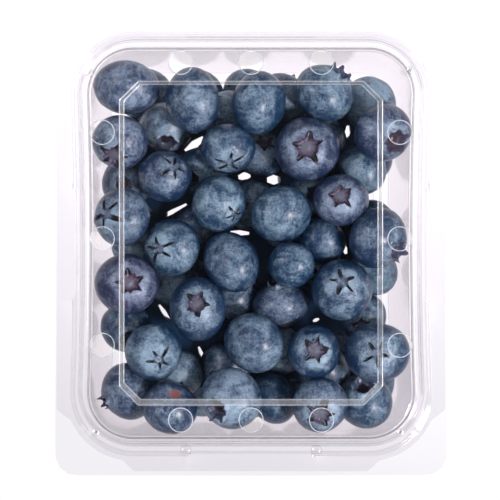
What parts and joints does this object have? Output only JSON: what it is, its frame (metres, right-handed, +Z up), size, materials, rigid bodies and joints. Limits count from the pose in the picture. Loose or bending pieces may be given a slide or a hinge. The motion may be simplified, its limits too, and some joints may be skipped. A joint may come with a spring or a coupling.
{
  "type": "punnet of blueberries",
  "caption": "Shallow clear hinged punnet with a drafted tray, a vented lid and finger tabs, filled with a heap of fresh blueberries.",
  "frame": {"origin": "on the ground under the middle of the pack, flanges included", "axes": "+Z up, +Y towards the hinge at the back, +X to the pack's right seen from its front"},
  "size_m": [0.0996, 0.1148, 0.0385],
  "materials": {
    "clear_sheet_tray": "clear thermoformed sheet",
    "clear_sheet_lid": "clear thermoformed sheet",
    "blueberry_skin": "dark blue skin under a pale waxy bloom"
  },
  "bodies": {
    "tray": {"tray": "clear_sheet_tray", "blueberries": "blueberry_skin"},
    "lid": {"lid": "clear_sheet_lid"}
  },
  "joints": [
    {"name": "lid_hinge", "type": "hinge", "parent": "tray", "child": "lid", "pos_m": [0, 0.0574, 0.03015], "axis": [-1, 0, 0], "range_deg": [0, 180]}
  ]
}
